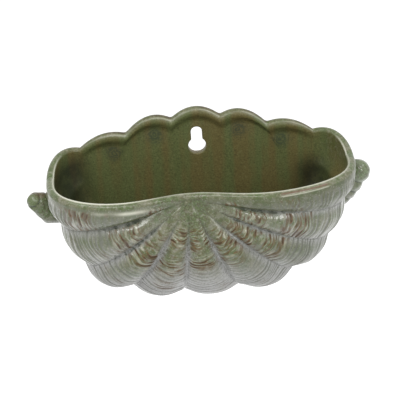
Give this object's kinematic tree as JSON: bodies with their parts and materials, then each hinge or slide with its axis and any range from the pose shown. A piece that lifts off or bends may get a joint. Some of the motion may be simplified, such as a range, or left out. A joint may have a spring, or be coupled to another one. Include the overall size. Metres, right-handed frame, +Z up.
{
  "type": "wall planter",
  "caption": "Hanging wall pocket for a plant, shaped like a ribbed scallop shell, with a scalloped flat back, a keyhole for a screw and ringed ears at the ends.",
  "frame": {"origin": "middle of the keyhole's slot end on the wall plane, where the hanging screw sits", "axes": "+X to the right along the width, +Y out of the flat back into the wall, +Z up"},
  "size_m": [0.2769, 0.1057, 0.1385],
  "materials": {
    "shell_glaze": "glossy grey-green glaze that breaks to brown on the growth rings",
    "back_glaze": "satin olive-brown glaze with greener bands and a fine speckle",
    "ear_glaze": "glossy green glaze"
  },
  "bodies": {
    "root": {"front_shell": "shell_glaze", "back_plate": "back_glaze", "left_ear": "ear_glaze", "right_ear": "ear_glaze"}
  },
  "joints": []
}
